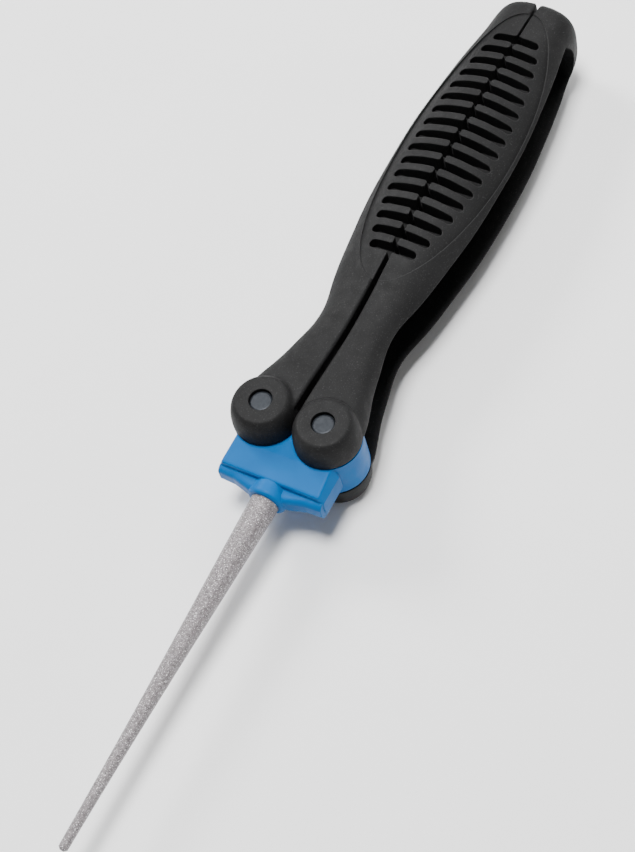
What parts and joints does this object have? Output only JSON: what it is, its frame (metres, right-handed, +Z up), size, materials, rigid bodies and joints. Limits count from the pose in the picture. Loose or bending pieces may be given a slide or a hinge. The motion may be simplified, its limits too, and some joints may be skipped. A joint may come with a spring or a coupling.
{
  "type": "folding tapered sharpening rod",
  "caption": "Tapered abrasive rod in a plastic holder, with slotted channel handles riveted to it that fold forward over the rod.",
  "frame": {"origin": "centre of the length and width, on the plane of the pivot bosses' back faces, which the tool rests on", "axes": "+X along the tool towards the handles' butt, the rod points to -X; +Y to the left handle; +Z up, along both pivots"},
  "size_m": [0.2409, 0.0324, 0.026],
  "materials": {
    "handle_plastic": "fine-grained matt, charcoal black",
    "holder_plastic": "satin moulded, bright blue",
    "abrasive_steel": "sparkling abrasive coat, warm grey",
    "rivet_steel": "satin grey",
    "washer_plastic": "smooth, black"
  },
  "bodies": {
    "holder": {"rod_holder": "holder_plastic", "tapered_rod": "abrasive_steel", "left_front_washer": "washer_plastic", "left_back_washer": "washer_plastic", "right_front_washer": "washer_plastic", "right_back_washer": "washer_plastic"},
    "left_grip": {"left_handle": "handle_plastic", "left_rivet_barrel": "rivet_steel", "left_rivet_stud": "rivet_steel"},
    "right_grip": {"right_handle": "handle_plastic", "right_rivet_barrel": "rivet_steel", "right_rivet_stud": "rivet_steel"}
  },
  "joints": [
    {"name": "left_fold", "type": "hinge", "parent": "holder", "child": "left_grip", "pos_m": [-0.0123, 0.0082, 0.013], "axis": [0, 0, 1], "range_deg": [0, 180]},
    {"name": "right_fold", "type": "hinge", "parent": "holder", "child": "right_grip", "pos_m": [-0.0123, -0.0082, 0.013], "axis": [0, 0, -1], "range_deg": [0, 180]}
  ]
}
